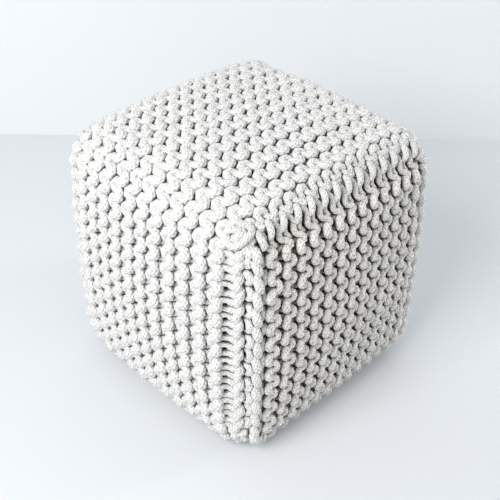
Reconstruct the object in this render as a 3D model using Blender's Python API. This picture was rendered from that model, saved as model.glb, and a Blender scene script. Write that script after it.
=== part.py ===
"""Knitted cube pouf: a garter-stitch band wrapped round a filled body, a knitted panel at each end,
and the two chained seams that join them.

Metres, +Z up. The origin is on the floor under the middle of the pouf, and the front end panel
faces -Y. All sizes are over the tops of the knitted ridges.
"""
import math

import bmesh
import bpy

NAME = "knitted_pouf"

# The filled form: a rounded box whose faces the stuffing swells into crowns
HALF_WIDTH = 0.180      # X, at the edges of the crowned sides
HALF_DEPTH = 0.179      # Y
HALF_HEIGHT = 0.187     # Z
EDGE_RADIUS = 0.056     # every edge and corner
SIDE_CROWN = 0.020      # swell of the four upright faces
TOP_CROWN = 0.020
FLOOR_SQUASH = 0.0012   # how much of each ridge is pressed flat under the pouf
CENTRE_Z = HALF_HEIGHT - FLOOR_SQUASH

# Ridges of the garter stitch, measured across them along the surface
RIDGE_RELIEF = 0.0045   # ridge top to furrow
RIDGES = 13             # on the band and on each panel
BAND_PITCH = 0.0248
BAND_EDGE_PITCH = 0.033     # to the outermost ridges, which the seams pull away
PANEL_PITCH = 0.0215
RIDGE_STEPS = (0.0, 0.16, 0.34, 0.66, 0.84)     # places across one ridge, as shares of its pitch
EDGE_CLEARANCE = 0.0025     # no such place lies nearer than this to a cut-off edge

# Seams, which lie round the four edges of each end
SEAM_TURN = math.radians(56)    # from the band's side round the edge to the join
CORD_RADIUS = 0.006
CORD_WAIST = 0.74       # radius between two stitches of the seam, as a share
CORD_SIDES_STEP = 1     # bevel resolution: a six-sided cord
GAP = 0.0003            # between neighbouring pieces

# Divisions round the pouf, for each corner and each side
BAND_STEPS = (5, 7)
SEAM_STEPS = (6, 36)
POINTS_PER_STITCH = 3
PANEL_ROWS = 12

CORE_X = HALF_WIDTH - EDGE_RADIUS
CORE_Y = HALF_DEPTH - EDGE_RADIUS
CORE_Z = HALF_HEIGHT - EDGE_RADIUS
SEAM_INSET = EDGE_RADIUS * (1 - math.cos(SEAM_TURN))
SEAM_Y = CORE_Y + EDGE_RADIUS * math.sin(SEAM_TURN)
BODY_END_Y = SEAM_Y - CORD_RADIUS - GAP
PANEL_INSET = SEAM_INSET + CORD_RADIUS + GAP

BAND_COLOUR = (0.80, 0.78, 0.74)
PANEL_COLOUR = (0.74, 0.72, 0.69)
SEAM_COLOUR = (0.84, 0.82, 0.79)
COTTON_ROUGHNESS = 0.9


def cotton(name, colour):
    """A matt undyed cotton cord."""
    material = bpy.data.materials.new(name)
    material.use_nodes = True
    shader = material.node_tree.nodes["Principled BSDF"]
    shader.inputs["Base Color"].default_value = (*colour, 1.0)
    shader.inputs["Roughness"].default_value = COTTON_ROUGHNESS
    return material


def bow(t):
    """Height of a crown: 1 in the middle of a face (t = 0), 0 at its edges (t = -1 and 1)."""
    return max(1 - t * t, 0)


def edge_drop(inset):
    """How far the rounded edge has fallen away at a point drawn in by `inset` from the next face."""
    across = max(EDGE_RADIUS - inset, 0)
    return EDGE_RADIUS - math.sqrt(EDGE_RADIUS ** 2 - across ** 2)


def furrows(pitch, edge_pitch):
    """Furrow positions across a piece of knitting, from its first edge to its last."""
    half = RIDGES // 2
    ridges = [k * pitch for k in range(1 - half, half)]
    ridges = [ridges[0] - edge_pitch, *ridges, ridges[-1] + edge_pitch]
    inner = [(a + b) / 2 for a, b in zip(ridges, ridges[1:])]
    return [ridges[0] - pitch / 2, *inner, ridges[-1] + pitch / 2]


def sunk(s, lines):
    """Depth below the ridge tops at distance s across the ridges."""
    for start, end in zip(lines, lines[1:]):
        if start <= s <= end:
            return RIDGE_RELIEF * (1 - math.sin(math.pi * (s - start) / (end - start)))
    return RIDGE_RELIEF


def samples(lines, limit):
    """Distances across the ridges that catch each ridge's outline, cut off at +-limit."""
    places = [a + step * (b - a) for a, b in zip(lines, lines[1:]) for step in RIDGE_STEPS]
    return [-limit, *(s for s in places if abs(s) < limit - EDGE_CLEARANCE), limit]


def outline(inset, corner_steps, side_steps):
    """The rounded square round the pouf in XZ, drawn in by `inset`: (x, z, outward x, outward z)."""
    radius = EDGE_RADIUS - inset
    arcs = []
    for quarter, (sign_x, sign_z) in enumerate(((1, 1), (-1, 1), (-1, -1), (1, -1))):
        angles = [math.pi / 2 * (quarter + k / corner_steps) for k in range(corner_steps + 1)]
        arcs.append([(sign_x * CORE_X + radius * math.cos(a), sign_z * CORE_Z + radius * math.sin(a),
                      math.cos(a), math.sin(a)) for a in angles])
    points = []
    for arc, following in zip(arcs, arcs[1:] + arcs[:1]):
        points += arc
        for k in range(1, side_steps):
            share = k / side_steps
            points.append([a + share * (b - a) for a, b in zip(arc[-1], following[0])])
    return points


def finish(mesh_data, name, material, collection):
    """Turn a bmesh into a named object, its faces outward."""
    bmesh.ops.recalc_face_normals(mesh_data, faces=mesh_data.faces)
    mesh = bpy.data.meshes.new(name)
    mesh_data.to_mesh(mesh)
    mesh_data.free()
    mesh.materials.append(material)
    piece = bpy.data.objects.new(name, mesh)
    collection.objects.link(piece)
    return piece


def knitted_band(collection):
    """The filled body in its band: rings along Y, whose ridges run round the pouf."""
    lines = furrows(BAND_PITCH, BAND_EDGE_PITCH)
    limit = CORE_Y + EDGE_RADIUS * math.asin((BODY_END_Y - CORE_Y) / EDGE_RADIUS)
    bm = bmesh.new()
    rings = []
    for s in samples(lines, limit):
        turn = max(abs(s) - CORE_Y, 0) / EDGE_RADIUS
        sink = sunk(s, lines)
        inset = EDGE_RADIUS * (1 - math.cos(turn)) + sink * math.cos(turn)
        y = min(abs(s), CORE_Y) + (EDGE_RADIUS - sink) * math.sin(turn)
        if abs(s) == limit:
            y = BODY_END_Y
        ring = []
        for x, z, out_x, out_z in outline(inset, *BAND_STEPS):
            x += SIDE_CROWN * bow(y / HALF_DEPTH) * bow(z / HALF_HEIGHT) * out_x
            z += TOP_CROWN * bow(y / HALF_DEPTH) * bow(x / HALF_WIDTH) * max(out_z, 0)
            ring.append(bm.verts.new((x, math.copysign(y, s), max(z + CENTRE_Z, 0))))
        rings.append(ring)
    for ring, following in zip(rings, rings[1:]):
        for k in range(len(ring)):
            bm.faces.new((ring[k - 1], ring[k], following[k], following[k - 1]))
    bm.faces.new(rings[0])
    bm.faces.new(rings[-1])
    return finish(bm, "knitted_band", cotton("band_cord", BAND_COLOUR), collection)


def end_panel(name, side, collection):
    """A crowned panel with upright ridges. Side -1 is the front, 1 the back."""
    lines = furrows(PANEL_PITCH, PANEL_PITCH)
    half_x, half_z = HALF_WIDTH - PANEL_INSET, HALF_HEIGHT - PANEL_INSET
    columns = samples(lines, half_x)
    bm = bmesh.new()
    grid = []
    for row in range(PANEL_ROWS + 1):
        height = half_z * (2 * row / PANEL_ROWS - 1)
        line = []
        for across in columns:
            x, z = across, height
            past_x, past_z = abs(x) - CORE_X, abs(z) - CORE_Z
            if past_x > 0 and past_z > 0:
                pull = max(past_x, past_z) / math.hypot(past_x, past_z)
                x = math.copysign(CORE_X + past_x * pull, x)
                z = math.copysign(CORE_Z + past_z * pull, z)
            inset = EDGE_RADIUS - math.hypot(max(abs(x) - CORE_X, 0), max(abs(z) - CORE_Z, 0))
            y = HALF_DEPTH - edge_drop(inset) - sunk(x, lines)
            y += SIDE_CROWN * bow(x / HALF_WIDTH) * bow(z / HALF_HEIGHT)
            line.append(bm.verts.new((x, side * y, z + CENTRE_Z)))
        grid.append(line)
    for low, high in zip(grid, grid[1:]):
        for k in range(1, len(columns)):
            bm.faces.new((low[k - 1], low[k], high[k], high[k - 1]))
    rim = bmesh.ops.extrude_edge_only(bm, edges=[e for e in bm.edges if e.is_boundary])
    for vert in (v for v in rim["geom"] if isinstance(v, bmesh.types.BMVert)):
        vert.co.y = side * (BODY_END_Y + GAP)
    bmesh.ops.holes_fill(bm, edges=[e for e in bm.edges if e.is_boundary])
    return finish(bm, name, cotton(f"{name}_cord", PANEL_COLOUR), collection)


def seam(name, side, collection):
    """The chain of stitches that joins the band to an end panel, narrowed between its stitches."""
    corner_steps, side_steps = SEAM_STEPS
    points = outline(SEAM_INSET, corner_steps, side_steps)
    curve = bpy.data.curves.new(name, "CURVE")
    curve.dimensions = "3D"
    curve.bevel_depth = CORD_RADIUS
    curve.bevel_resolution = CORD_SIDES_STEP
    spline = curve.splines.new("POLY")
    spline.points.add(len(points) - 1)
    spline.use_cyclic_u = True
    for k, (point, (x, z, _, _)) in enumerate(zip(spline.points, points)):
        point.co = (x, side * SEAM_Y, z + CENTRE_Z, 1)
        point.radius = CORD_WAIST if k % POINTS_PER_STITCH == 0 else 1.0
    curve.materials.append(cotton(f"{name}_cord", SEAM_COLOUR))
    piece = bpy.data.objects.new(name, curve)
    collection.objects.link(piece)
    return piece


def build():
    for leftover in list(bpy.data.objects):
        bpy.data.objects.remove(leftover, do_unlink=True)
    collection = bpy.data.collections.new(NAME)
    bpy.context.scene.collection.children.link(collection)
    knitted_band(collection)
    for place, side in (("front", -1), ("back", 1)):
        end_panel(f"end_panel_{place}", side, collection)
        seam(f"seam_{place}", side, collection)


build()
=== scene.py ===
# %% [markdown]
# # A knitted cube pouf
#
# The pouf is a stuffed cube in a cover of chunky cotton cord. The cover is garter stitch: every ridge
# is two rows of loops, and a row is one cord that swings up, over and back again. This lesson knits the
# cover loop by loop. A short rule gives the path of the cord through a stitch, Geometry Nodes repeats it
# over the rows, and the rows are laid on a curved form that has the shape of the stuffed cube.
#
# The first cell loads the frame, which holds the plain solids at their real size: metres, +Z up.

# %% Load the frame
import math

import bmesh
import bpy
from mathutils import Matrix, Vector


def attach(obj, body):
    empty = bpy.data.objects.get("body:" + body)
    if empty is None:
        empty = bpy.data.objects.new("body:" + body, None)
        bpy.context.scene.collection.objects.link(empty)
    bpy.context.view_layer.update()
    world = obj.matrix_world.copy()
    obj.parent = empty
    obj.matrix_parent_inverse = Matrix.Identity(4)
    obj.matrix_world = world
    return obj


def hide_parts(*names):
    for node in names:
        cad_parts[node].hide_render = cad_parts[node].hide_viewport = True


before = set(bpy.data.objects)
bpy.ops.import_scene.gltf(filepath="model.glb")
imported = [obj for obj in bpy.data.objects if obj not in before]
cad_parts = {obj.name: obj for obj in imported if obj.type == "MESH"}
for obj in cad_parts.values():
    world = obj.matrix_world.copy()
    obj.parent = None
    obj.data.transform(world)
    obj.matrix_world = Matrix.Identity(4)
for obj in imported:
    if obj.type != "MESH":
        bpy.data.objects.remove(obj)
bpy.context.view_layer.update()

# %% [markdown]
# ## The shape of the stuffed cube
#
# The outside of the cover is a rounded box, and the stuffing swells each face into a crown. The loops
# weave in and out of a middle surface that lies under the tops of the ridges, and the stuffed body lies
# deeper again. All of them are the same rounded box at different depths, so one set of sizes serves.

# %% Sizes of the cube
HALF_WIDTH = 0.180
HALF_DEPTH = 0.179
HALF_HEIGHT = 0.187
EDGE_RADIUS = 0.056
CROWN = 0.020
CORE_X = HALF_WIDTH - EDGE_RADIUS
CORE_Y = HALF_DEPTH - EDGE_RADIUS
CORE_Z = HALF_HEIGHT - EDGE_RADIUS
FLOOR_SQUASH = 0.0012       # how much of each ridge is pressed flat on the floor
CENTRE = Vector((0, 0, HALF_HEIGHT - FLOOR_SQUASH))
print("cube over the ridges", [round(2 * (v + CROWN) * 1000) for v in (HALF_WIDTH, HALF_DEPTH)], "mm")


def bow(t):
    """Height of a crown: 1 in the middle of a face, 0 at its edges."""
    return max(1 - t * t, 0)


def swell(x, y, z):
    """Move a point of the rounded box, counted from its middle, out to the crowned cube."""
    wide, deep, high = bow(x / HALF_WIDTH), bow(y / HALF_DEPTH), bow(z / HALF_HEIGHT)
    out = [max(min(v / core, 1), -1) for v, core in ((x, CORE_X), (y, CORE_Y), (z, CORE_Z))]
    return CENTRE + Vector((x + CROWN * deep * high * out[0] ** 3,
                            y + CROWN * wide * high * out[1] ** 3,
                            z + CROWN * wide * deep * max(out[2], 0) ** 3))


# %% [markdown]
# ## One stitch
#
# Seen from the front, a loop of garter stitch is an omega: the cord runs along the ridge at the foot of
# the loop, up one leg, round the head and down the other leg. In one row the heads come to the front and
# the feet lie behind, and in the next row it is the other way round, so two rows make one ridge. A few
# sine waves of one angle draw all of it.
#
# In a real fabric each head hooks through the next row. Here the cord is only drawn in its place: the
# loops don't hook, and where they cross they run into each other.

# %% Sizes of a stitch
CORD_RADIUS = 0.0053
LOOP_BULGE = 0.13           # how far the head is wider than the neck, in stitches
LOOP_HEIGHT = 1.0           # from the middle of a row to its head, in rows
EDGE_LOOP_HEIGHT = 1.0      # of the outermost rows
CALM_FROM = -0.30           # where a row calms down past its last loop, in stitches
CALM_TO = 0.5
STRAND_SWAY = 0.22          # how much of a loop's sway a straightened strand keeps
STRAND_RISE = 0.2           # how far strands of one row lie over those of the next, in swings
STRAND_LIFT = 0.0045        # how far all strands rise towards the seam that they are caught in
STRAND_THINNESS = 0.2       # how much thinner a strand is drawn
LOOP_SWING = 0.0080         # from the middle surface out to the head, and back to the foot
DRAWN_POINTS = 24           # points of the path in a stitch as drawn, and as kept, evenly spaced
POINTS_A_STITCH = 15
CORD_SIDES = 9
COVER_MARGIN = 0.0022       # how much deeper the middle surface lies than the highest loops need
COVER_DEPTH = LOOP_SWING + CORD_RADIUS + COVER_MARGIN
print("middle surface", round(COVER_DEPTH * 1000, 1), "mm under the ridge tops")

# %% [markdown]
# ## Rows and ridges
#
# The band has thirteen ridges, and so has each end panel. The seams pull the band's outermost ridge away
# from its neighbour, so the ridges are placed by a short table made from the pitches, and a row finds
# its place between them.

# %% Places of the rows
RIDGES = 13
ROWS = 2 * RIDGES
BAND_PITCH = 0.0248
BAND_EDGE_PITCH = 0.0335    # to the outermost ridge on the upright sides, which the seam pulls away
BAND_EDGE_HALF = 0.0020     # half the width between the two lines of loops of that ridge
BAND_LIP_TURN = math.radians(49.5)      # where the band's last row of bumps lies on the rounded edge
TOP_EDGE_PITCH = 0.0220
TOP_EDGE_HALF = 0.0055
TOP_LIP_TURN = math.radians(33)
PANEL_PITCH = 0.0215
PANEL_LIP_TURN = math.radians(21)
BAND_STITCHES = 58
PANEL_STITCHES = 12
PANEL_STITCH = 0.0245
MARGIN = 3                  # rows and stitches that a form reaches past its knitting
FORM_ROWS = ROWS + 2 * MARGIN
FORM_STITCHES = PANEL_STITCHES + 2 * MARGIN
ENDS = ((-1, "front"), (1, "back"))     # side and name of each end


def ridge_table(pitch, edge_pitch, edge_half, lip):
    """(row count, distance across) of the rows, with the outermost ridges and the lips beyond them."""
    last = (RIDGES // 2 - 1) * pitch
    edge = last + edge_pitch
    right = [(last, ROWS - 3.5), (last + pitch / 4, ROWS - 3), (edge - edge_half, ROWS - 2),
             (edge + edge_half, ROWS - 1), (lip, ROWS + 0.9)]
    left = [(ROWS - 1 - row, -place) for place, row in reversed(right)]
    return left + [(row, place) for place, row in right]


def read_table(table, value):
    """Straight lines through the pairs of a table, carried on past both ends."""
    k = 1
    while k < len(table) - 1 and value > table[k][0]:
        k += 1
    (low, at_low), (high, at_high) = table[k - 1:k + 1]
    return at_low + (value - low) / (high - low) * (at_high - at_low)


band_table = ridge_table(BAND_PITCH, BAND_EDGE_PITCH, BAND_EDGE_HALF,
                         CORE_Y + EDGE_RADIUS * BAND_LIP_TURN)
top_table = ridge_table(BAND_PITCH, TOP_EDGE_PITCH, TOP_EDGE_HALF,
                        CORE_Y + EDGE_RADIUS * TOP_LIP_TURN)
panel_table = ridge_table(PANEL_PITCH, PANEL_PITCH, PANEL_PITCH / 4,
                          CORE_X + EDGE_RADIUS * PANEL_LIP_TURN)
print("band rows reach", round(band_table[-1][1] * 1000), "mm across,",
      "panel rows", round(panel_table[-1][1] * 1000), "mm")

# %% [markdown]
# ## Forms to knit on
#
# A form is a smooth sheet that is never shown. Its UV map counts stitches one way and rows the other, so
# that a stitch finds its place on the swelling cube by asking the form where its count lies.

# %% A sheet with counts
FORM_STEPS = 2              # faces for each stitch and each row


def linked(name, data):
    """A new object in the scene."""
    made = bpy.data.objects.new(name, data)
    bpy.context.scene.collection.objects.link(made)
    return made


def as_object(name, bm):
    """Turn a bmesh into an object."""
    mesh = bpy.data.meshes.new(name)
    bm.to_mesh(mesh)
    bm.free()
    return linked(name, mesh)


def sheet_form(name, stitches, rows, place):
    """A sheet whose corner (a, b) of the unit square lies at place(a, b)."""
    columns, lines = round(stitches * FORM_STEPS), round(rows * FORM_STEPS)
    bm = bmesh.new()
    counts = bm.loops.layers.uv.new("count")
    grid = [[bm.verts.new(place(i / columns, j / lines)) for i in range(columns + 1)]
            for j in range(lines + 1)]
    for j in range(lines):
        for i in range(columns):
            corners = ((i, j), (i + 1, j), (i + 1, j + 1), (i, j + 1))
            face = bm.faces.new([grid[b][a] for a, b in corners])
            face.smooth = True
            for loop, (a, b) in zip(face.loops, corners):
                loop[counts].uv = (a / columns, b / lines)
    return as_object(name, bm)


def fold(distance, core, radius):
    """Follow a face outwards and round its edge: (place along the face, drop below it)."""
    past = max(abs(distance) - core, 0)
    turn = past / EDGE_RADIUS
    return (math.copysign(min(abs(distance), core) + radius * math.sin(turn), distance),
            radius * (1 - math.cos(turn)))


# %% The band's form, a sleeve round the X and Z faces
TOP_TIGHTNESS = 0.06        # how much closer the stitches lie on top than on average
LEVEL_BLEND = 1.5           # how soon the upright sides give way to the level ones
TALLY_RADIUS = EDGE_RADIUS - 0.004      # of the round edges along which stitches are counted
RUNG_PLACE = 0.146          # middle of the stretched furrow, whose legs of loops show as rungs
RUNG_RISE = 0.0025
RUNG_WIDTH = 0.012
LIP_PLACE = 0.158
LIP_SINK = 0.004            # how deep the lip lies where a seam whips over it
LIP_WIDTH = 0.008


def hump(value, middle, width):
    """A smooth hump of height 1."""
    return math.exp(-((value - middle) / width) ** 2)


def level_share(a):
    """1 on the top and the bottom of the band, 0 on its upright sides."""
    return min(max(0.5 + LEVEL_BLEND * math.cos(4 * math.pi * a), 0), 1)


def section_point(share, radius):
    """Point of the rounded XZ section at a share of the way round from under its middle.

    The shares are measured on the outside of the cover, so that stitches open evenly round a fold."""
    bend = math.pi / 2 * TALLY_RADIUS
    left = share % 1 * (4 * CORE_X + 4 * CORE_Z + 4 * bend)
    sides = ((0, -CORE_Z, -1, 0, CORE_X), (-CORE_X, -CORE_Z, 0, 1, 2 * CORE_Z),
             (-CORE_X, CORE_Z, 1, 0, 2 * CORE_X), (CORE_X, CORE_Z, 0, -1, 2 * CORE_Z),
             (CORE_X, -CORE_Z, -1, 0, CORE_X))
    for x, z, along_x, along_z, length in sides:
        out_x, out_z = -along_z, along_x
        if left <= length:
            return x + along_x * left + out_x * radius, z + along_z * left + out_z * radius
        left -= length
        x, z = x + along_x * length, z + along_z * length
        if left <= bend:
            turn = left / TALLY_RADIUS
            dir_x = out_x * math.cos(turn) + along_x * math.sin(turn)
            dir_z = out_z * math.cos(turn) + along_z * math.sin(turn)
            return x + dir_x * radius, z + dir_z * radius
        left -= bend
    return 0, -CORE_Z - radius


def band_place(depth):
    """Point of the band's sleeve at a depth under the ridge tops."""
    def place(a, b):
        share = a + TOP_TIGHTNESS * math.sin(2 * math.pi * a) / (2 * math.pi)
        row, level = b * FORM_ROWS - MARGIN, level_share(a)
        across = (1 - level) * read_table(band_table, row) + level * read_table(top_table, row)
        sink = depth - RUNG_RISE * (1 - level) * hump(abs(across), RUNG_PLACE, RUNG_WIDTH)
        sink += LIP_SINK * level * hump(abs(across), LIP_PLACE, LIP_WIDTH)
        y, drop = fold(across, CORE_Y, EDGE_RADIUS - sink)
        x, z = section_point(share, EDGE_RADIUS - sink - drop)
        return swell(x, y, z)
    return place


band_form = sheet_form("band_form", BAND_STITCHES, FORM_ROWS, band_place(COVER_DEPTH))
print("band form", [round(v, 3) for v in band_form.dimensions])

# %% The end panels' forms
LADDER_PLACE = 0.145        # the row beside the upright seam lies deeper
LADDER_SINK = 0.0055
LADDER_WIDTH = 0.008


def panel_place(side, depth):
    """Point of an end panel. Side -1 is the front, 1 the back."""
    def place(a, b):
        up = (a * FORM_STITCHES - MARGIN - PANEL_STITCHES / 2) * PANEL_STITCH
        across = side * read_table(panel_table, b * FORM_ROWS - MARGIN)
        radius = EDGE_RADIUS - depth - LADDER_SINK * hump(abs(across), LADDER_PLACE, LADDER_WIDTH)
        past_x, past_z = max(abs(across) - CORE_X, 0), max(abs(up) - CORE_Z, 0)
        past = math.hypot(past_x, past_z)
        turn = past / EDGE_RADIUS
        reach = radius * math.sin(turn) / past if past else 0
        x = math.copysign(min(abs(across), CORE_X) + past_x * reach, across)
        z = math.copysign(min(abs(up), CORE_Z) + past_z * reach, up)
        return swell(x, side * (CORE_Y + radius * math.cos(turn)), z)
    return place


panel_forms = {side: sheet_form(f"panel_form_{name}", FORM_STITCHES, FORM_ROWS,
                                panel_place(side, COVER_DEPTH))
               for side, name in ENDS}
print("panel forms", [round(v, 3) for v in panel_forms[-1].dimensions])

# %% [markdown]
# ## Helpers for node trees
#
# Geometry Nodes trees and materials are both made of nodes that are added, set and wired. One helper
# does all three, and a few short ones stand on it, so that the cells below read as a list of steps.

# %% Add, set and wire a node
def put(tree, node, values):
    """Set or wire a node's inputs by name or number."""
    for key, value in values.items():
        if isinstance(value, bpy.types.NodeSocket):
            tree.links.new(value, node.inputs[key])
        else:
            node.inputs[key].default_value = value


def add(tree, kind, values=None, **settings):
    """Add a node, set its properties, and set or wire its inputs by name or number."""
    made = tree.nodes.new(kind)
    for key, value in settings.items():
        setattr(made, key, value)
    put(tree, made, values or {})
    return made


def calc(tree, operation, *values):
    """The output of a Math node."""
    return add(tree, "ShaderNodeMath", dict(enumerate(values)), operation=operation).outputs[0]


def times(tree, a, b):
    """The product of two numbers."""
    return calc(tree, "MULTIPLY", a, b)


def vector_calc(tree, operation, *values):
    """The output of a Vector Math node."""
    made = add(tree, "ShaderNodeVectorMath", dict(enumerate(values)), operation=operation)
    return made.outputs["Value" if operation in ("DOT_PRODUCT", "LENGTH") else "Vector"]


def scaled(tree, vector, factor):
    """A vector times a number."""
    made = add(tree, "ShaderNodeVectorMath", {0: vector, "Scale": factor}, operation="SCALE")
    return made.outputs["Vector"]


def noise(tree, place, scale, detail, output="Fac"):
    """The output of a Noise Texture node."""
    made = add(tree, "ShaderNodeTexNoise", {"Vector": place, "Scale": scale, "Detail": detail})
    return made.outputs[output]


def turn_cosine(tree, share):
    """Cosine of twice the turn at a share of the way round: 1 on level sides, -1 on upright ones."""
    return calc(tree, "COSINE", times(tree, share, 4 * math.pi))


def mapped(tree, value, low, high, at_low=0.0, at_high=1.0, shape="LINEAR"):
    """A value carried from one range to another, and held at its ends."""
    return add(tree, "ShaderNodeMapRange", {0: value, 1: low, 2: high, 3: at_low, 4: at_high},
               interpolation_type=shape).outputs[0]


def keep(tree, geometry, name, value, kind="FLOAT"):
    """Store a value on the points of a geometry."""
    return add(tree, "GeometryNodeStoreNamedAttribute", {"Geometry": geometry, "Name": name, "Value": value},
               data_type=kind, domain="POINT").outputs[0]


def recall(tree, name, kind="FLOAT"):
    """Read a stored value."""
    return add(tree, "GeometryNodeInputNamedAttribute", {"Name": name}, data_type=kind).outputs[0]


def new_tree(name, inputs):
    """An empty Geometry Nodes tree with named inputs: (name, socket type, starting value)."""
    tree = bpy.data.node_groups.new(name, "GeometryNodeTree")
    for label, kind, value in inputs:
        made = tree.interface.new_socket(label, in_out="INPUT", socket_type=kind)
        if value is not None:
            made.default_value = value
    tree.interface.new_socket("Geometry", in_out="OUTPUT", socket_type="NodeSocketGeometry")
    return tree, tree.nodes.new("NodeGroupInput").outputs


def set_inputs(modifier, values):
    """Set a modifier's inputs, found by name and set by identifier."""
    for item in modifier.node_group.interface.items_tree:
        if item.item_type == "SOCKET" and item.in_out == "INPUT" and item.name in values:
            modifier[item.identifier] = values[item.name]


def grow(name, tree, values, start=None):
    """Run a tree on a starting mesh, or an empty one, and keep its result as a plain mesh object."""
    maker = linked(f"{name}_maker", start or bpy.data.meshes.new(f"{name}_maker"))
    modifier = maker.modifiers.new("Geometry", "NODES")
    modifier.node_group = tree
    set_inputs(modifier, values)
    ready = maker.evaluated_get(bpy.context.evaluated_depsgraph_get())
    mesh = bpy.data.meshes.new_from_object(ready)
    mesh.name = name
    bpy.data.objects.remove(maker)
    print(name, len(mesh.polygons), "faces")
    return linked(name, mesh)


# %% [markdown]
# ## Cotton cord
#
# The cord is undyed cotton, plaited from soft strands. It is matt, off-white and slightly heathered, with
# darker flecks and a fine plait. Grey shade is painted into its colour in the depths where the loops cross
# and in the grooves of the plait. The cord carries three values from its making: the distance along it, the
# direction round it, and how far each point stands above the middle surface. The plait and the painted shade
# are drawn from these, so they follow every bend.

# %% The cord's shader group
PLAIT_STRANDS = 7           # that wind round the cord each way
DEEPEST = -0.004            # heights over the middle surface where the painted crevice shade is darkest, and where it ends
SUNLIT = 0.0075
CREVICE_REACH = 0.012       # how far a neighbouring cord still keeps light from a crevice
PLAIT_LENGTH = 0.005        # one wave of the plait along the cord
PLAIT_RELIEF = 0.0008
PLAIT_SHADE = 0.74          # painted shade in the grooves of the plait: how light they stay
PLAIT_GROOVE = (-0.9, 0.2)  # from the bottom of a groove to where it ends
PLAIT_WOBBLE = 3.0
WOBBLE_SCALE = 160
FIBRE_SCALE = 900
FIBRE_RELIEF = 0.0006
FLECK_SCALE = 330
FLECK_STOPS = ((0.30, (0.46, 0.45, 0.43)), (0.47, (0.90, 0.895, 0.885)), (0.62, (1, 1, 1)))
CLOUD_SCALE = 22
CLOUD_STOPS = ((0.35, (0.96, 0.965, 0.975)), (0.65, (1.0, 0.995, 0.98)))
CREVICE_SAMPLES = 8
DEEP_SHARE = 0.55           # how open a point at the deepest height counts as
# painted crevice shade: colour stops from the darkest crevice to no shade
SHADE_STOPS = ((0.15, (0.035, 0.030, 0.024)), (0.26, (0.39, 0.366, 0.338)), (0.40, (1, 1, 1)))


def ramp(tree, factor, stops):
    """A colour ramp through (place, (red, green, blue)) stops."""
    made = add(tree, "ShaderNodeValToRGB", {0: factor})
    band = made.color_ramp
    for k, (place, colour) in enumerate(stops):
        stop = band.elements[k] if k < 2 else band.elements.new(place)
        stop.position = place
        stop.color = (*colour, 1)
    return made.outputs["Color"]


def mix_colour(tree, factor, a, b, blend="MIX"):
    """A Mix node for colours."""
    return add(tree, "ShaderNodeMix", {0: factor, 6: a, 7: b}, data_type="RGBA", blend_type=blend).outputs[2]


def cord_group():
    """Group with the cord's colour and its height for a bump.

    It paints crevices dark, and the light shades them besides."""
    tree = bpy.data.node_groups.new("cotton_cord", "ShaderNodeTree")
    for label, kind, value in (("Tint", "Color", (0.8, 0.8, 0.8, 1)), ("Fleck", "Float", 0.5),
                               ("Depth Shade", "Float", 0.7), ("Openness", "Float", 1.0)):
        made = tree.interface.new_socket(label, in_out="INPUT", socket_type=f"NodeSocket{kind}")
        made.default_value = value
    tree.interface.new_socket("Color", in_out="OUTPUT", socket_type="NodeSocketColor")
    tree.interface.new_socket("Height", in_out="OUTPUT", socket_type="NodeSocketFloat")
    given = tree.nodes.new("NodeGroupInput").outputs
    place = add(tree, "ShaderNodeTexCoord").outputs["Object"]
    along, around, lift = (add(tree, "ShaderNodeAttribute", attribute_name=name).outputs
                           for name in ("along", "around", "lift"))
    around = add(tree, "ShaderNodeSeparateXYZ", {0: around["Vector"]}).outputs
    angle = times(tree, calc(tree, "ARCTAN2", around[1], around[0]), PLAIT_STRANDS)
    step = times(tree, along["Fac"], 2 * math.pi / PLAIT_LENGTH)
    step = calc(tree, "MULTIPLY_ADD", noise(tree, place, WOBBLE_SCALE, 1), PLAIT_WOBBLE, step)
    one_way = calc(tree, "SINE", calc(tree, "ADD", angle, step))
    other_way = calc(tree, "SINE", calc(tree, "SUBTRACT", angle, step))
    plait = times(tree, calc(tree, "ADD", one_way, other_way), 0.5)
    fibre = noise(tree, place, FIBRE_SCALE, 3)
    flecked = ramp(tree, noise(tree, place, FLECK_SCALE, 4), FLECK_STOPS)
    colour = mix_colour(tree, given["Fleck"], given["Tint"],
                        mix_colour(tree, 1.0, given["Tint"], flecked, "MULTIPLY"))
    clouded = ramp(tree, noise(tree, place, CLOUD_SCALE, 2), CLOUD_STOPS)
    colour = mix_colour(tree, 1.0, colour, clouded, "MULTIPLY")
    # painted shade: the grooves of the plait are darkened in the colour
    groove = mapped(tree, plait, *PLAIT_GROOVE, PLAIT_SHADE, 1.0)
    grooved = ramp(tree, groove, ((0, (0, 0, 0)), (1, (1, 1, 1))))
    colour = mix_colour(tree, 1.0, colour, grooved, "MULTIPLY")
    # painted shade: darker where neighbouring cords are near and where the cord lies deep
    open_sky = add(tree, "ShaderNodeAmbientOcclusion", {"Distance": CREVICE_REACH},
                   samples=CREVICE_SAMPLES).outputs["AO"]
    raised = mapped(tree, lift["Fac"], DEEPEST, SUNLIT, DEEP_SHARE, 1.0)
    deep = times(tree, times(tree, open_sky, raised), given["Openness"])
    shaded = mix_colour(tree, 1.0, colour, ramp(tree, deep, SHADE_STOPS), "MULTIPLY")
    colour = mix_colour(tree, given["Depth Shade"], colour, shaded)
    height = calc(tree, "MULTIPLY_ADD", calc(tree, "SUBTRACT", fibre, 0.5), FIBRE_RELIEF,
                  times(tree, plait, PLAIT_RELIEF))
    add(tree, "NodeGroupOutput", {"Color": colour, "Height": height})
    return tree


cotton_cord = cord_group()
print("shader group", cotton_cord.name, len(cotton_cord.nodes), "nodes")

# %% Cord materials
BAND_OPENNESS = 1.0         # below 1, the painted crevice shade is darker than the depth alone gives
PANEL_OPENNESS = 0.90
SEAM_OPENNESS = 0.88
BUMP_STRENGTH = 0.8
COTTON_ROUGHNESS = 0.88
COTTON_SPECULAR = 0.25
COTTON_SHEEN = 0.18
SHEEN_ROUGHNESS = 0.6


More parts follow.
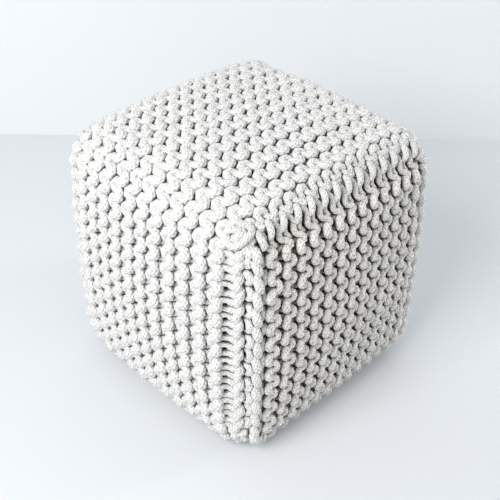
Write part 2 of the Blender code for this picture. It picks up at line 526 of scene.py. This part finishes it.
def new_material(name, values):
    """A material whose shader has these values, its tree, and the shader."""
    material = bpy.data.materials.new(name)
    material.use_nodes = True
    shader = material.node_tree.nodes["Principled BSDF"]
    put(material.node_tree, shader, values)
    return material, material.node_tree, shader


def cord_material(name, tint, fleck, depth_shade, openness):
    """A matt cotton material that uses the cord group."""
    material, tree, shader = new_material(name, {
        "Roughness": COTTON_ROUGHNESS, "Specular IOR Level": COTTON_SPECULAR,
        "Sheen Weight": COTTON_SHEEN, "Sheen Roughness": SHEEN_ROUGHNESS})
    group = add(tree, "ShaderNodeGroup", {"Tint": (*tint, 1), "Fleck": fleck, "Depth Shade": depth_shade,
                                          "Openness": openness}, node_tree=cotton_cord)
    bump = add(tree, "ShaderNodeBump",
               {"Height": group.outputs["Height"], "Distance": 1.0, "Strength": BUMP_STRENGTH})
    put(tree, shader, {"Base Color": group.outputs["Color"], "Normal": bump.outputs["Normal"]})
    return material


# The panels and the seam get darker painted crevice shade than the band.
band_cotton = cord_material("band_cotton", (0.87, 0.868, 0.852), 0.68, 0.87, BAND_OPENNESS)
panel_cotton = cord_material("panel_cotton", (0.85, 0.826, 0.798), 0.9, 0.9, PANEL_OPENNESS)
seam_cotton = cord_material("seam_cotton", (0.85, 0.845, 0.825), 0.7, 0.92, SEAM_OPENNESS)
print("cord materials", band_cotton.name, panel_cotton.name, seam_cotton.name)

# %% [markdown]
# ## The knitting tree
#
# One tree knits any piece. It draws a straight row, copies it once for each row, and moves every point
# by the loop rule in counts of stitches and rows. The form's UV map then turns counts into places, and
# a round profile swept along each row makes the cord. A soft noise pulls the loops about a little, the
# same way for neighbours, so that the loops keep their places beside each other.

# %% The loop rule in nodes
GROWING = (-0.7, -0.1)      # cosine of twice the turn, where loops grow taller towards the level sides


def rows_from_middle(tree, row):
    """How many rows a row lies from the middle of its piece."""
    return calc(tree, "ABSOLUTE", calc(tree, "SUBTRACT", row, (ROWS - 1) / 2))


def loop_rule(tree, given, stitch, row, calm):
    """Counts of stitch and row, height over the middle surface and thickness, for a point of a row.

    Calm runs from 1 in the fabric to 0 beyond its last stitch, where the cord straightens to a strand."""
    theta = times(tree, stitch, 2 * math.pi)
    cosine = calc(tree, "COSINE", theta)
    level = turn_cosine(tree, calc(tree, "DIVIDE", stitch, given["Stitches"]))
    level = mapped(tree, level, *GROWING)
    usual = calc(tree, "MULTIPLY_ADD", level, given["Level Stretch"], given["Loop Height"])
    tall = mapped(tree, rows_from_middle(tree, row), ROWS / 2 - 2, ROWS / 2, usual, EDGE_LOOP_HEIGHT)
    bulge = times(tree, calc(tree, "SINE", times(tree, theta, 2)), LOOP_BULGE)
    purl = calc(tree, "SUBTRACT", times(tree, calc(tree, "FLOORED_MODULO", row, 2), 2), 1)
    proud = times(tree, cosine, purl)
    sway = times(tree, cosine, calc(tree, "MAXIMUM", calm, STRAND_SWAY))
    strand = times(tree, calc(tree, "SUBTRACT", 1, calm), times(tree, purl, STRAND_RISE))
    height = times(tree, given["Loop Swing"], calc(tree, "MULTIPLY_ADD", proud, calm, strand))
    height = calc(tree, "MULTIPLY_ADD", calc(tree, "SUBTRACT", 1, calm), STRAND_LIFT, height)
    fat = mapped(tree, purl, -1.0, 1.0, given["Foot Fatness"], given["Head Fatness"])
    swelling = times(tree, fat, calc(tree, "MULTIPLY_ADD", proud, 0.5, 0.5))
    drawn = times(tree, calc(tree, "SUBTRACT", calm, 1), STRAND_THINNESS)
    thickness = calc(tree, "MULTIPLY_ADD", swelling, calm, calc(tree, "ADD", 1, drawn))
    return (calc(tree, "MULTIPLY_ADD", bulge, calm, stitch),
            calc(tree, "SUBTRACT", row, times(tree, sway, tall)), height, thickness)


# %% Laying a cord on its form
EDGE_ROWS_FROM = 0.26       # share of a form's width, from its middle, where its outer rows begin
EDGE_TUG = 2.4              # how much harder those rows are tugged about
EASY_TUG = 0.3              # and how much the others are
RUNG_ROW = 10.85            # rows from the middle of the band to the stretched legs that show as rungs
RUNG_REACH = 0.5
DRIFT_SCALE = 26.0          # noises that move a cord, and make it plump or thin
TUG_SCALE = 70.0
PLUMP_SCALE = 45.0
PLUMP_SWING = (0.4, 0.8)    # share of a loop's height that follows the noise, and the share always there
UPRIGHT = (-0.2, -0.8)      # cosine of twice the turn, from the fold to where the band stands upright
OUTERMOST = (ROWS / 2 - 1.6, ROWS / 2 - 1.0)      # rows from the middle, where the outermost ridge begins


def straight_rows(tree, given):
    """Straight rows of points, whose X counts stitches and which keep their row. Open ends reach further."""
    reach, closed = given["End Reach"], given["Closed"]
    start = add(tree, "ShaderNodeCombineXYZ", {0: times(tree, reach, -1)}).outputs[0]
    last = calc(tree, "SUBTRACT", calc(tree, "ADD", given["Stitches"], reach),
                times(tree, closed, 1 / DRAWN_POINTS))
    end = add(tree, "ShaderNodeCombineXYZ", {0: last}).outputs[0]
    line = add(tree, "GeometryNodeCurvePrimitiveLine", {"Start": start, "End": end}).outputs[0]
    length = calc(tree, "MULTIPLY_ADD", reach, 2, given["Stitches"])
    points = calc(tree, "MULTIPLY_ADD", length, DRAWN_POINTS, calc(tree, "SUBTRACT", 1, closed))
    line = add(tree, "GeometryNodeResampleCurve", {"Curve": line, "Count": points}).outputs[0]
    rows = add(tree, "GeometryNodeDuplicateElements",
               {"Geometry": line, "Amount": given["Rows"]}, domain="SPLINE")
    row = calc(tree, "ADD", rows.outputs["Duplicate Index"], given["First Row"])
    curve = keep(tree, rows.outputs[0], "row", row)
    curve = add(tree, "GeometryNodeSetSplineCyclic", {0: curve, "Cyclic": closed}).outputs[0]
    here = add(tree, "GeometryNodeInputPosition").outputs[0]
    return curve, add(tree, "ShaderNodeSeparateXYZ", {0: here}).outputs[0], recall(tree, "row")


def lay_on_form(tree, given, curve, stitch, row, height, thickness):
    """Move points from counts to the form, let them drift a little, and sweep the cord."""
    span = calc(tree, "MULTIPLY_ADD", given["Stitch Margin"], 2, given["Stitches"])
    along = calc(tree, "FRACT", calc(tree, "DIVIDE", calc(tree, "ADD", stitch, given["Stitch Margin"]), span))
    across = calc(tree, "DIVIDE", calc(tree, "ADD", row, given["Row Margin"]), given["Row Span"])
    spot = add(tree, "ShaderNodeCombineXYZ", {0: along, 1: across}).outputs[0]
    form = add(tree, "GeometryNodeObjectInfo", {"Object": given["Form"]}).outputs["Geometry"]
    place, normal = (add(tree, "GeometryNodeSampleUVSurface",
                         {"Mesh": form, "Value": add(tree, value).outputs[0],
                          "Source UV Map": recall(tree, "count", "FLOAT_VECTOR"), "Sample UV": spot},
                         data_type="FLOAT_VECTOR").outputs["Value"]
                     for value in ("GeometryNodeInputPosition", "GeometryNodeInputNormal"))
    drift = noise(tree, place, DRIFT_SCALE, 1.0, "Color")
    tug = noise(tree, place, TUG_SCALE, 1.0, "Color")
    edge = calc(tree, "ABSOLUTE", calc(tree, "SUBTRACT", across, 0.5))
    edge = mapped(tree, edge, EDGE_ROWS_FROM, 0.5, EASY_TUG, EDGE_TUG, "SMOOTHSTEP")
    drift = vector_calc(tree, "ADD", vector_calc(tree, "SUBTRACT", drift, (0.5, 0.5, 0.5)),
                        scaled(tree, vector_calc(tree, "SUBTRACT", tug, (0.5, 0.5, 0.5)), edge))
    drift = scaled(tree, drift, given["Looseness"])
    plump = noise(tree, place, PLUMP_SCALE, 1.0)
    height = times(tree, height, calc(tree, "MULTIPLY_ADD", plump, *PLUMP_SWING))
    place = vector_calc(tree, "ADD", vector_calc(tree, "ADD", place, scaled(tree, normal, height)), drift)
    bend_cosine = turn_cosine(tree, along)
    bend = calc(tree, "SUBTRACT", 1, calc(tree, "ABSOLUTE", bend_cosine))
    thickness = calc(tree, "ADD", thickness, times(tree, bend, given["Fold Fatness"]))
    upright = mapped(tree, bend_cosine, *UPRIGHT)
    from_middle = rows_from_middle(tree, row)
    from_rungs = calc(tree, "ABSOLUTE", calc(tree, "SUBTRACT", from_middle, RUNG_ROW))
    rung = mapped(tree, from_rungs, RUNG_REACH, 0.0, shape="SMOOTHSTEP")
    outermost = mapped(tree, from_middle, *OUTERMOST)
    thickness = calc(tree, "SUBTRACT", thickness, times(tree, outermost, given["Edge Thinness"]))
    rung = times(tree, times(tree, rung, upright), given["Rung Thinness"])
    rung = times(tree, rung, times(tree, plump, 2))       # the noise is one half on average
    thickness = calc(tree, "SUBTRACT", thickness, rung)
    thickness = times(tree, thickness, given["Cord Radius"])
    resting = add(tree, "ShaderNodeCombineXYZ", {0: -1.0, 1: -1.0, 2: thickness}).outputs[0]
    place = vector_calc(tree, "MAXIMUM", place, resting)
    for name, value, kind in (("out", normal, "FLOAT_VECTOR"), ("height", height, "FLOAT"),
                              ("place", place, "FLOAT_VECTOR"), ("thickness", thickness, "FLOAT")):
        curve = keep(tree, curve, name, value, kind)
    moved = add(tree, "GeometryNodeSetPosition",
                {"Geometry": curve, "Position": recall(tree, "place", "FLOAT_VECTOR")}).outputs[0]
    length = calc(tree, "MULTIPLY_ADD", given["End Reach"], 2, given["Stitches"])
    even = add(tree, "GeometryNodeResampleCurve",
               {"Curve": moved, "Count": times(tree, length, POINTS_A_STITCH)}).outputs[0]
    finish_cord(tree, sweep(tree, even, recall(tree, "thickness")), given["Material"])


def sweep(tree, curve, radius):
    """Sweep a round profile along a curve, with the direction round it and the distance along it stored."""
    measured = keep(tree, curve, "along", add(tree, "GeometryNodeSplineParameter").outputs["Length"])
    circle = add(tree, "GeometryNodeCurvePrimitiveCircle", {"Resolution": CORD_SIDES, "Radius": 1.0})
    here = add(tree, "GeometryNodeInputPosition").outputs[0]
    circle = keep(tree, circle.outputs[0], "around", here, "FLOAT_VECTOR")
    return add(tree, "GeometryNodeCurveToMesh",
               {"Curve": measured, "Profile Curve": circle, "Scale": radius, "Fill Caps": True}).outputs[0]


def finish_cord(tree, swept, material):
    """Store how far each point stands above the middle surface, shade smooth, and give the material."""
    normal = add(tree, "GeometryNodeInputNormal").outputs[0]
    facing = vector_calc(tree, "DOT_PRODUCT", normal, recall(tree, "out", "FLOAT_VECTOR"))
    # the height over the middle surface, which sets the painted crevice shade
    lift = calc(tree, "MULTIPLY_ADD", facing, CORD_RADIUS, recall(tree, "height"))
    result = keep(tree, swept, "lift", lift)
    for name in ("out", "height", "place", "thickness", "row"):
        result = add(tree, "GeometryNodeRemoveAttribute", {"Geometry": result, "Name": name}).outputs[0]
    result = add(tree, "GeometryNodeSetShadeSmooth", {"Geometry": result, "Shade Smooth": True}).outputs[0]
    result = add(tree, "GeometryNodeRealizeInstances", {"Geometry": result}).outputs[0]
    result = add(tree, "GeometryNodeSetMaterial", {"Geometry": result, "Material": material}).outputs[0]
    add(tree, "NodeGroupOutput", {0: result})


# %% The tree that knits
LOOSENESS = 0.005           # metres of drift, for noise that runs from 0 to 1
CORD_NUMBERS = {
    "End Reach": 0.0, "Stitch Margin": 0.0, "Row Margin": float(MARGIN), "Row Span": float(FORM_ROWS),
    "Cord Radius": CORD_RADIUS, "Looseness": LOOSENESS, "Loop Height": LOOP_HEIGHT, "Loop Swing": LOOP_SWING,
    "Head Fatness": 0.0, "Foot Fatness": 0.0, "Fold Fatness": 0.0, "Rung Thinness": 0.0,
    "Edge Thinness": 0.0, "Level Stretch": 0.0}
CORD_INPUTS = (
    ("Form", "NodeSocketObject", None), ("Material", "NodeSocketMaterial", None),
    ("First Row", "NodeSocketInt", 0), ("Rows", "NodeSocketInt", 1),
    ("Stitches", "NodeSocketInt", BAND_STITCHES), ("Closed", "NodeSocketBool", True),
    *((label, "NodeSocketFloat", value) for label, value in CORD_NUMBERS.items()))


def knitting_tree():
    """Rows of loops, which calm down to straight cord beyond the last stitch of an open row."""
    tree, given = new_tree("knit_rows", CORD_INPUTS)
    curve, stitch, row = straight_rows(tree, given)
    past = calc(tree, "MAXIMUM", times(tree, stitch, -1),
                calc(tree, "SUBTRACT", stitch, given["Stitches"]))
    calm = mapped(tree, past, CALM_FROM, CALM_TO, 1.0, 0.0, "SMOOTHSTEP")
    calm = calc(tree, "MAXIMUM", calm, given["Closed"])
    lay_on_form(tree, given, curve, *loop_rule(tree, given, stitch, row, calm))
    return tree


knit_rows = knitting_tree()
print("knitting tree", len(knit_rows.nodes), "nodes")

# %% Knit the band
BAND_GROUPS = 4
ROWS_A_GROUP = (ROWS + 2) // BAND_GROUPS
BAND_CORD = {
    "Cord Radius": 0.0060, "Loop Height": 0.95, "Loop Swing": 0.0075,
    "Head Fatness": 0.12, "Foot Fatness": -0.06,
    "Fold Fatness": 0.16,       # the cord looks fatter where the band turns over an edge
    "Rung Thinness": 0.36,      # how much thinner the stretched legs are drawn
    "Edge Thinness": 0.27,      # and the cord of the outermost ridge, by the seam
    "Level Stretch": 0.17}      # how much taller the loops are on top, where the stuffing spreads them

band_pieces = [grow(f"band_knit_{k + 1}", knit_rows, {
    "Form": band_form, "Material": band_cotton, "First Row": k * ROWS_A_GROUP - 1, "Rows": ROWS_A_GROUP,
    "Stitches": BAND_STITCHES, "Closed": True, **BAND_CORD}) for k in range(BAND_GROUPS)]

# %% Knit the end panels
PANEL_CORD = {
    "Cord Radius": 0.0050, "Loop Height": 1.05, "Loop Swing": 0.0085,
    "Head Fatness": -0.15, "Foot Fatness": 0.13,
    "End Reach": 1.4}           # stitches from the last loop to the end under the seam

panel_pieces = [grow(f"panel_knit_{name}", knit_rows, {
    "Form": panel_forms[side], "Material": panel_cotton, "First Row": -1, "Rows": ROWS + 2,
    "Stitches": PANEL_STITCHES, "Closed": False, "Stitch Margin": float(MARGIN), **PANEL_CORD})
    for side, name in ENDS]

# %% [markdown]
# ## Seams
#
# A cord of its own sews each end panel to the band. Down the upright edges it shows as a chain of long
# ovals, each stitch going forward on top and a little back underneath. Along the top and the bottom it
# whips over the edge, across the ends of the panel's ridges. Both are one rule: where the seam turns
# from upright to level, the forward stitch gives way to a sideways one.

# %% The seam's form
SEAM_TURN = math.radians(58)        # from the band's side round an upright edge
WHIP_TURN = math.radians(44)        # from the band's top round a level edge
SEAM_STITCHES = 58
SEAM_RADIUS = 0.0048
SEAM_SWING = 0.0060
SEAM_PROUD = 0.003          # how far the seam stands over the ridge tops
SEAM_DEPTH = SEAM_SWING + SEAM_RADIUS - SEAM_PROUD
SEAM_SPAN = 4               # rows that the form counts across the seam
SEAM_ROW = 0.010
WHIP_TIGHTNESS = 0.06       # keeps the whip stitches in step with the panel's ridges


def seam_place(side):
    """A strip of the rounded edge under the seam."""
    def place(a, b):
        turn = SEAM_TURN + level_share(a) * (WHIP_TURN - SEAM_TURN)
        turn += side * (b - 0.5) * SEAM_SPAN * SEAM_ROW / EDGE_RADIUS
        radius = EDGE_RADIUS - SEAM_DEPTH
        share = a - WHIP_TIGHTNESS * math.sin(4 * math.pi * a) / (4 * math.pi)
        x, z = section_point(share, radius * math.cos(turn))
        return swell(x, side * (CORE_Y + radius * math.sin(turn)), z)
    return place


seam_forms = {side: sheet_form(f"seam_form_{name}", SEAM_STITCHES, SEAM_SPAN, seam_place(side))
              for side, name in ENDS}
print("seam forms", [round(v, 3) for v in seam_forms[-1].dimensions])

# %% The seam's tree
BACK_STITCH = 0.22          # how far a stitch of the chain runs back underneath, in stitches
CHAIN_SLANT = 0.002
WHIP_REACH = 0.0085
WHIP_SHIFT = 0.25           # puts each whip stitch beside a ridge's strand, in stitches
STITCH_FATNESS = 0.22       # how much fatter a stitch of the seam is in its middle
WHIP_THINNESS = 0.25        # how much thinner the cord is drawn where it whips
WHIP_FROM = (-0.15, 0.15)   # cosine of twice the turn, from the last chain stitch to the first whip stitch


def seam_tree():
    """A closed cord of chain stitches on the upright edges and whip stitches on the level ones."""
    tree, given = new_tree("sew_seam", CORD_INPUTS)
    curve, stitch, row = straight_rows(tree, given)
    level = turn_cosine(tree, calc(tree, "DIVIDE", stitch, given["Stitches"]))
    whip = mapped(tree, level, *WHIP_FROM, shape="SMOOTHSTEP")
    theta = times(tree, calc(tree, "MULTIPLY_ADD", whip, -WHIP_SHIFT, stitch), 2 * math.pi)
    sine, cosine = calc(tree, "SINE", theta), calc(tree, "COSINE", theta)
    forward = times(tree, times(tree, sine, BACK_STITCH), calc(tree, "SUBTRACT", 1, whip))
    sideways = calc(tree, "MULTIPLY_ADD", whip, (WHIP_REACH - CHAIN_SLANT) / SEAM_ROW, CHAIN_SLANT / SEAM_ROW)
    lay_on_form(tree, given, curve, calc(tree, "ADD", stitch, forward),
                calc(tree, "MULTIPLY_ADD", sine, sideways, row), times(tree, cosine, SEAM_SWING),
                times(tree, calc(tree, "MULTIPLY_ADD", cosine, STITCH_FATNESS, 1),
                      calc(tree, "MULTIPLY_ADD", whip, -WHIP_THINNESS, 1)))
    return tree


SEAM_LOOSENESS = 0.004
sew_seam = seam_tree()
seam_pieces = [grow(f"seam_chain_{name}", sew_seam, {
    "Form": seam_forms[side], "Material": seam_cotton, "Stitches": SEAM_STITCHES, "Closed": True,
    "Row Margin": SEAM_SPAN / 2, "Row Span": float(SEAM_SPAN), "Cord Radius": SEAM_RADIUS,
    "Looseness": SEAM_LOOSENESS})
    for side, name in ENDS]

# %% [markdown]
# ## Coils
#
# Where a seam begins, at an upper corner, the band is bunched and its loose cord lies in a flat coil over
# the gathered loops. The coil is a spiral drawn on a plane that touches the rounded corner, and each of
# its points is then pressed back onto the swelling cube.

# %% The coil's path
COIL_DIRECTION = Vector((-0.659, -0.348, 0.667))    # from the middle of the corner's ball out to the coil
COIL_WIDTH = 0.0185
COIL_HEIGHT = 0.0150
COIL_END = 0.0010           # how near the middle the cord ends
COIL_TURNS = 1.75
COIL_POINTS = 60
COIL_START = math.radians(100)
COIL_WAVE = 0.10            # how uneven the turns are
COIL_TILT = 0.2             # how far the coil leans up to the right
COIL_DIP = 0.0015
COIL_DEPTH = 0.0020         # how deep the cord's middle lies under the ridge tops
COIL_RADIUS = 0.0050
COIL_LIFT = 0.004           # the height over the middle surface that the painted crevice shade takes the coil to have


def pressed_on(point, depth):
    """The point of the crowned cube under a point outside the rounded box, and the direction out there."""
    core = Vector([max(min(v, c), -c) for v, c in zip(point, (CORE_X, CORE_Y, CORE_Z))])
    out = (point - core).normalized()
    return swell(*(core + out * (EDGE_RADIUS - depth))), out


def coil_path(turn_about):
    """A line mesh of the coil, turned half about the upright axis for the back seam."""
    direction = COIL_DIRECTION.normalized()
    up = (Vector((0, 0, 1)) - direction * direction.z).normalized()
    right = up.cross(direction)
    centre = Vector((-CORE_X, -CORE_Y, CORE_Z)) + direction * EDGE_RADIUS
    points, outs = [], []
    for k in range(COIL_POINTS):
        share = k / (COIL_POINTS - 1)
        angle = COIL_START - 2 * math.pi * COIL_TURNS * share
        size = 1 - share * (1 - COIL_END / COIL_HEIGHT) + COIL_WAVE * math.sin(3 * angle)
        wide, high = COIL_WIDTH * size * math.cos(angle), COIL_HEIGHT * size * math.sin(angle)
        place, out = pressed_on(centre + right * wide + up * (high + COIL_TILT * wide),
                                COIL_DEPTH + COIL_DIP * math.sin(2 * angle))
        points.append((turn_about * place.x, turn_about * place.y, place.z))
        outs += (turn_about * out.x, turn_about * out.y, out.z)
    mesh = bpy.data.meshes.new("coil_path")
    mesh.from_pydata(points, [(k, k + 1) for k in range(COIL_POINTS - 1)], [])
    mesh.attributes.new("out", "FLOAT_VECTOR", "POINT").data.foreach_set("vector", outs)
    return mesh


# %% Sweep the coils
def coil_tree():
    """A cord along the starting line."""
    tree, given = new_tree("coil_cord", (
        ("Line", "NodeSocketGeometry", None), ("Material", "NodeSocketMaterial", None),
        ("Cord Radius", "NodeSocketFloat", COIL_RADIUS)))
    curve = add(tree, "GeometryNodeMeshToCurve", {"Mesh": given["Line"]}).outputs[0]
    curve = keep(tree, curve, "height", COIL_LIFT)
    swept = sweep(tree, curve, given["Cord Radius"])
    finish_cord(tree, swept, given["Material"])
    return tree


coil_cord = coil_tree()
coil_pieces = [grow(f"seam_coil_{name}", coil_cord, {"Material": seam_cotton, "Cord Radius": COIL_RADIUS},
                    coil_path(-side)) for side, name in ENDS]

# %% [markdown]
# ## The stuffed body
#
# Between the loops the inner sack with its filling shows. Its colour is far darker than the cord's, which
# paints the shade in the gaps between the loops. It is sewn as the same rounded cube, a little too small, and
# the filling stretches it. Blender's Cloth does that here with air pressure from inside. The pressure would
# swell it too far, so no point may move further than a few millimetres, and even then it presses into the
# backs of the loops.

# %% Sew the inner sack
SACK_GAP = 0.008            # from the cord's deepest point, as drawn, down to the sack
SACK_DEPTH = 2 * LOOP_SWING + CORD_RADIUS + SACK_GAP
SACK_STEPS = 28


def sack():
    """A closed rounded cube at the sack's depth, pushed out by the same crowns."""
    radius = EDGE_RADIUS - SACK_DEPTH
    bm = bmesh.new()
    bmesh.ops.create_cube(bm, size=2)
    bmesh.ops.subdivide_edges(bm, edges=bm.edges, cuts=SACK_STEPS, use_grid_fill=True)
    for vert in bm.verts:
        reach = Vector([v * (core + radius) for v, core in zip(vert.co, (CORE_X, CORE_Y, CORE_Z))])
        vert.co = pressed_on(reach, SACK_DEPTH)[0]
    for face in bm.faces:
        face.smooth = True
    return as_object("inner_sack", bm)


inner_sack = sack()
print("inner sack as sewn", [round(v, 3) for v in inner_sack.dimensions])

# %% Fill it
FILL_PRESSURE = 4.0
FILL_FRAMES = 20
FILL_ROOM = 0.006           # how far a point of the sack may move


def fill_up(piece):
    """Swell a closed piece with Cloth, and keep each point within its room."""
    sewn = [vert.co.copy() for vert in piece.data.vertices]
    cloth = piece.modifiers.new("Cloth", "CLOTH")
    cloth.settings.use_pressure = True
    cloth.settings.uniform_pressure_force = FILL_PRESSURE
    cloth.settings.effector_weights.gravity = 0
    cloth.point_cache.frame_end = FILL_FRAMES
    for moment in range(1, FILL_FRAMES + 1):
        bpy.context.scene.frame_set(moment)
    ready = piece.evaluated_get(bpy.context.evaluated_depsgraph_get())
    filled = bpy.data.meshes.new_from_object(ready)
    piece.modifiers.clear()
    bpy.context.scene.frame_set(1)
    moves = []
    for vert, start in zip(filled.vertices, sewn):
        move = vert.co - start
        moves.append(move.length)
        vert.co = start + move * min(1, FILL_ROOM / max(move.length, 1e-9))
    piece.data = filled
    filled.name = piece.name
    print(piece.name, "swells", round(max(moves) * 1000, 1), "mm at most, kept to", FILL_ROOM * 1000)


fill_up(inner_sack)
rounder = inner_sack.modifiers.new("Subdivision", "SUBSURF")
rounder.levels = rounder.render_levels = 1

# %% The sack's cotton
WEAVE_SCALE = 600
# dark colours of the sack, with a weave noise between them: painted shade for the gaps between the loops
WEAVE_AND_SHADE_STOPS = ((0.3, (0.12, 0.11, 0.10)), (0.7, (0.26, 0.245, 0.225)))
WEAVE_RELIEF = 0.0005
SACK_ROUGHNESS = 0.95


def sack_material():
    """Woven grey-beige cotton, far darker than the cord: painted shade for the gaps between the loops."""
    material, tree, shader = new_material("sack_cotton", {"Roughness": SACK_ROUGHNESS})
    weave = noise(tree, add(tree, "ShaderNodeTexCoord").outputs["Object"], WEAVE_SCALE, 3)
    bump = add(tree, "ShaderNodeBump", {"Height": weave, "Distance": WEAVE_RELIEF})
    put(tree, shader, {"Base Color": ramp(tree, weave, WEAVE_AND_SHADE_STOPS), "Normal": bump.outputs["Normal"]})
    return material


inner_sack.data.materials.append(sack_material())
print("inner sack", len(inner_sack.data.polygons), "faces")

# %% Take the forms away
for form in (band_form, *panel_forms.values(), *seam_forms.values()):
    bpy.data.objects.remove(form)

# %% [markdown]
# ## What each piece belongs to
#
# Nothing on the pouf moves, so every piece rides its one body, and the plain solids that the pieces stand for
# are hidden.

# %% Ride, and hide the replaced solids
for piece in band_pieces:
    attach(piece, "root")
    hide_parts("knitted_band")
for piece, name in zip(panel_pieces, ("front", "back")):
    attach(piece, "root")
    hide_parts(f"end_panel_{name}")
for piece, name in (*zip(seam_pieces, ("front", "back")), *zip(coil_pieces, ("front", "back"))):
    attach(piece, "root")
    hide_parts(f"seam_{name}")
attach(inner_sack, "root")
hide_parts("knitted_band")
print("pieces riding", len(band_pieces) + len(panel_pieces) + len(seam_pieces) + len(coil_pieces) + 1)

# %% [markdown]
# ## Floor, wall, light and camera
#
# The pouf stands on pale paper before a pale wall. These are for the picture alone. The paper glows a
# little in place of the other lamps of a studio, and it can't be seen from behind, so that it hides
# nothing in a view from another side. A large lamp shines from the upper left, a low one on the right
# keeps the shaded side from going dark, and an even light comes from all round.

# %% The stage
STAGE_SIZE = 6.0
AIM = Vector((0, 0, 0.187))
CAMERA_PLACE = Vector((-0.757, -0.755, 0.969))
WALL_DISTANCE = 0.6235
FLOOR_COLOUR = (0.66, 0.68, 0.70)
FLOOR_GLOW = 0.06
WALL_COLOUR = (0.70, 0.72, 0.735)
WALL_GLOW = 0.17
PAPER_ROUGHNESS = 0.9
PAPER_SPECULAR = 0.1


def flat(name, corners):
    """A flat sheet of one face."""
    mesh = bpy.data.meshes.new(name)
    mesh.from_pydata(corners, [], [tuple(range(len(corners)))])
    return linked(name, mesh)


def plain_material(name, colour, glow):
    """Plain paper that glows a little and isn't there from behind."""
    material, tree, shader = new_material(name, {
        "Base Color": (*colour, 1), "Roughness": PAPER_ROUGHNESS, "Specular IOR Level": PAPER_SPECULAR,
        "Emission Color": (*colour, 1), "Emission Strength": glow})
    behind = add(tree, "ShaderNodeNewGeometry").outputs["Backfacing"]
    clear = add(tree, "ShaderNodeBsdfTransparent").outputs[0]
    mixed = add(tree, "ShaderNodeMixShader", {0: behind, 1: shader.outputs[0], 2: clear}).outputs[0]
    tree.links.new(mixed, tree.nodes["Material Output"].inputs["Surface"])
    return material


half = STAGE_SIZE / 2
floor = flat("floor", [(-half, -half, 0), (half, -half, 0), (half, half, 0), (-half, half, 0)])
floor.data.materials.append(plain_material("floor_paper", FLOOR_COLOUR, FLOOR_GLOW))
view = Vector((AIM.x - CAMERA_PLACE.x, AIM.y - CAMERA_PLACE.y, 0)).normalized()
foot, up = view * WALL_DISTANCE, Vector((0, 0, half))
along = Vector((-view.y, view.x, 0)) * half
wall = flat("wall", [foot - along, foot - along + up, foot + along + up, foot + along])
wall.data.materials.append(plain_material("wall_paper", WALL_COLOUR, WALL_GLOW))
print("wall", WALL_DISTANCE, "m behind the pouf's middle")

# %% Light
WORLD_COLOUR = (0.97, 0.985, 1.0)
WORLD_LIGHT = 0.61
KEY_PLACE = (-1.55, -0.25, 1.5)
KEY_SIZE = 1.0
KEY_POWER = 34.5
FILL_PLACE = (2.1, -1.0, 0.42)
FILL_SIZE = 0.9
FILL_POWER = 63
world = bpy.data.worlds.new("studio")
bpy.context.scene.world = world
world.use_nodes = True
sky = world.node_tree.nodes["Background"].inputs
sky["Color"].default_value = (*WORLD_COLOUR, 1)
sky["Strength"].default_value = WORLD_LIGHT


def softbox(name, place, size, power):
    """A square lamp that faces the pouf."""
    lamp = bpy.data.lights.new(name, "AREA")
    lamp.energy = power
    lamp.size = size
    holder = linked(name, lamp)
    holder.location = place
    holder.rotation_euler = (AIM - Vector(place)).to_track_quat("-Z", "Y").to_euler()
    print(name, "lamp of", power, "W at", place)


softbox("key", KEY_PLACE, KEY_SIZE, KEY_POWER)
softbox("fill", FILL_PLACE, FILL_SIZE, FILL_POWER)

# %% [markdown]
# The camera stands where it stood for the photo, as a box fitted to the outline showed it. Its lens is
# 1% shorter than that fit says, because the outline of the loops came out that much too large.

# %% Camera
PICTURE = 500               # pixels a side, in which the lens and the shifts were fitted
FOCAL = 946
SHIFT = (2.7, -6.9)
ROLL = math.radians(0.73)
SENSOR = 36
camera_data = bpy.data.cameras.new("camera")
camera_data.sensor_width = SENSOR
camera_data.lens = FOCAL / PICTURE * SENSOR
camera_data.shift_x, camera_data.shift_y = (pixels / PICTURE for pixels in SHIFT)
camera = linked("camera", camera_data)
camera.location = CAMERA_PLACE
aim = (AIM - CAMERA_PLACE).to_track_quat("-Z", "Y").to_matrix().to_4x4()
camera.matrix_world = Matrix.Translation(CAMERA_PLACE) @ aim @ Matrix.Rotation(ROLL, 4, "Z")
bpy.context.scene.camera = camera
bpy.context.scene.view_settings.view_transform = "Standard"
print("lens", round(camera_data.lens, 1), "mm")
